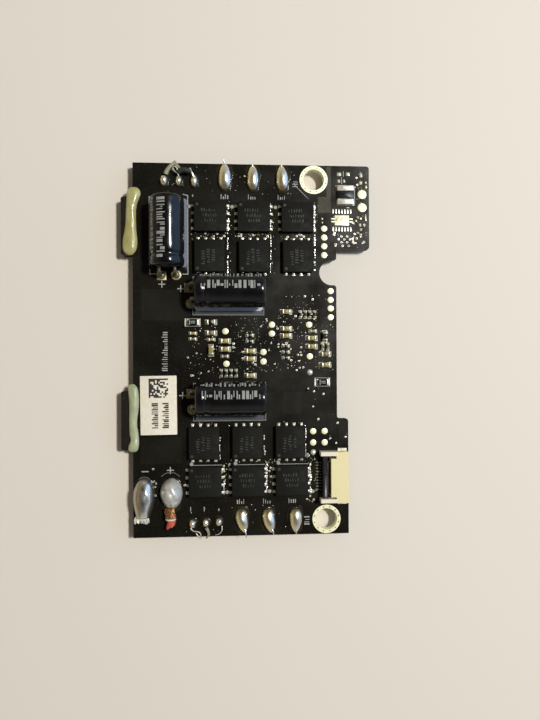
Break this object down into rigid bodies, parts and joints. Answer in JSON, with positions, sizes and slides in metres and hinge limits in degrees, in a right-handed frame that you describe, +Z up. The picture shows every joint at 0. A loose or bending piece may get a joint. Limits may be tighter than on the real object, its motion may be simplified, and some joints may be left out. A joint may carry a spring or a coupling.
{
  "type": "electronic speed controller",
  "caption": "Bare circuit board that drives two brushless motors, with power transistors, bulk capacitors, a flip-lock flat-cable connector and soldered cable joints.",
  "frame": {"origin": "centre of the bounding box's bottom face, on the surface that the underside chips and the edge blocks rest on", "axes": "+Y along the board from the battery end to the end with the side tab, +X across it towards the flat-cable connector, +Z up from the side with the capacitors"},
  "size_m": [0.0418, 0.0624, 0.0078],
  "materials": {
    "solder_mask": "glossy black solder mask over glass-fibre laminate",
    "gold_plating": "gold flash over nickel, bright",
    "mould_compound": "black moulding compound, fine matt grain",
    "capacitor_sleeve": "shrunk black film, glossy, pale print",
    "aluminium_can": "drawn aluminium, satin",
    "rubber_seal": "matt rubber",
    "paper_winding": "wound paper and foil",
    "tinned_metal": "tin plate",
    "solder": "bright solder with some flux",
    "cream_plastic": "cream glass-filled nylon",
    "latch_plastic": "dark grey glass-filled nylon",
    "copper_strand": "copper strands with burnt flux",
    "red_insulation": "red silicone insulation, torn",
    "block_plastic": "black moulded plastic",
    "glue": "yellowish cured glue, waxy",
    "label_paper": "off-white coated paper with dark print"
  },
  "bodies": {
    "board_assembly": {"circuit_board": "solder_mask", "screw_hole_ring_upper": "gold_plating", "screw_hole_ring_lower": "gold_plating", "mosfet_1": "mould_compound", "mosfet_2": "mould_compound", "mosfet_3": "mould_compound", "mosfet_4": "mould_compound", "mosfet_5": "mould_compound", "mosfet_6": "mould_compound", "mosfet_7": "mould_compound", "mosfet_8": "mould_compound", "mosfet_9": "mould_compound", "mosfet_10": "mould_compound", "mosfet_11": "mould_compound", "mosfet_12": "mould_compound", "capacitor_1_can": "aluminium_can", "capacitor_1_sleeve": "capacitor_sleeve", "capacitor_1_seal": "rubber_seal", "capacitor_1_winding": "paper_winding", "capacitor_1_lead_positive": "tinned_metal", "capacitor_1_lead_negative": "tinned_metal", "capacitor_2_can": "aluminium_can", "capacitor_2_sleeve": "capacitor_sleeve", "capacitor_2_seal": "rubber_seal", "capacitor_2_winding": "paper_winding", "capacitor_2_lead_positive": "tinned_metal", "capacitor_2_lead_negative": "tinned_metal", "capacitor_3_can": "aluminium_can", "capacitor_3_sleeve": "capacitor_sleeve", "capacitor_3_seal": "rubber_seal", "capacitor_3_winding": "paper_winding", "capacitor_3_lead_positive": "tinned_metal", "capacitor_3_lead_negative": "tinned_metal", "connector_housing": "cream_plastic", "connector_nail_lower": "tinned_metal", "connector_nail_upper": "tinned_metal", "phase_joint_upper_1": "solder", "phase_joint_upper_2": "solder", "phase_joint_upper_3": "solder", "phase_joint_lower_1": "solder", "phase_joint_lower_2": "solder", "phase_joint_lower_3": "solder", "battery_joint_negative": "solder", "battery_joint_positive": "solder", "positive_wire_core": "copper_strand", "positive_wire_insulation": "red_insulation", "negative_wire_strands": "tinned_metal", "edge_block_upper": "block_plastic", "glue_bead_upper": "glue", "edge_block_lower": "block_plastic", "glue_bead_lower": "glue", "label": "label_paper", "shunt_resistor": "mould_compound", "microcontroller_1": "mould_compound", "microcontroller_2": "mould_compound", "gate_driver_1": "mould_compound", "gate_driver_2": "mould_compound"},
    "latch": {"connector_latch": "latch_plastic"}
  },
  "joints": [
    {"name": "latch_hinge", "type": "hinge", "parent": "board_assembly", "child": "latch", "pos_m": [0.01333, -0.02155, 0.0034], "axis": [0, 1, 0], "range_deg": [0, 90]}
  ]
}
